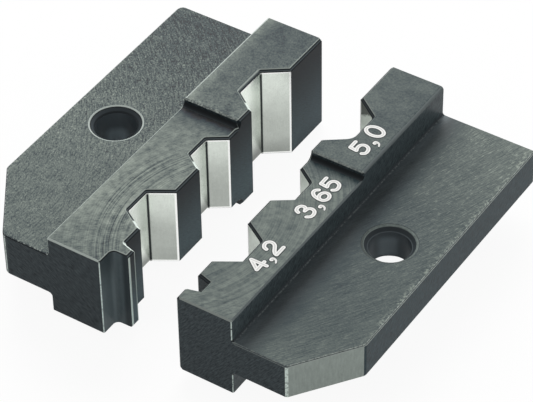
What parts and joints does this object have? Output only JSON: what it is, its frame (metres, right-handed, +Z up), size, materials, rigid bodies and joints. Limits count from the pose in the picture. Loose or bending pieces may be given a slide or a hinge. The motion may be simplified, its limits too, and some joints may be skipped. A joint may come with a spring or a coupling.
{
  "type": "crimp die insert",
  "caption": "Pair of hardened crimping die halves with half-hexagon nests in a stepped head, a guide tooth and notch, and a bolt hole through each thin plate.",
  "frame": {"origin": "centre of the fixed half's bolt hole, halfway through its plate", "axes": "+X from the fixed half to the moving half, along which the pair closes; +Y along the row of nests, from the guide tooth to the taller stage; +Z up, square to the plates"},
  "size_m": [0.0338, 0.0306, 0.009],
  "materials": {
    "fixed_die": "black oxide on hardened, ground tool steel; bright satin in the nests",
    "moving_die": "black oxide on hardened, ground tool steel; bright satin in the nests"
  },
  "bodies": {
    "fixed_half": {"fixed_die": "fixed_die"},
    "moving_half": {"moving_die": "moving_die"}
  },
  "joints": [
    {"name": "jaw_closing", "type": "slide", "parent": "fixed_half", "child": "moving_half", "axis": [-1, 0, 0], "range_m": [0, 0.00645]}
  ]
}
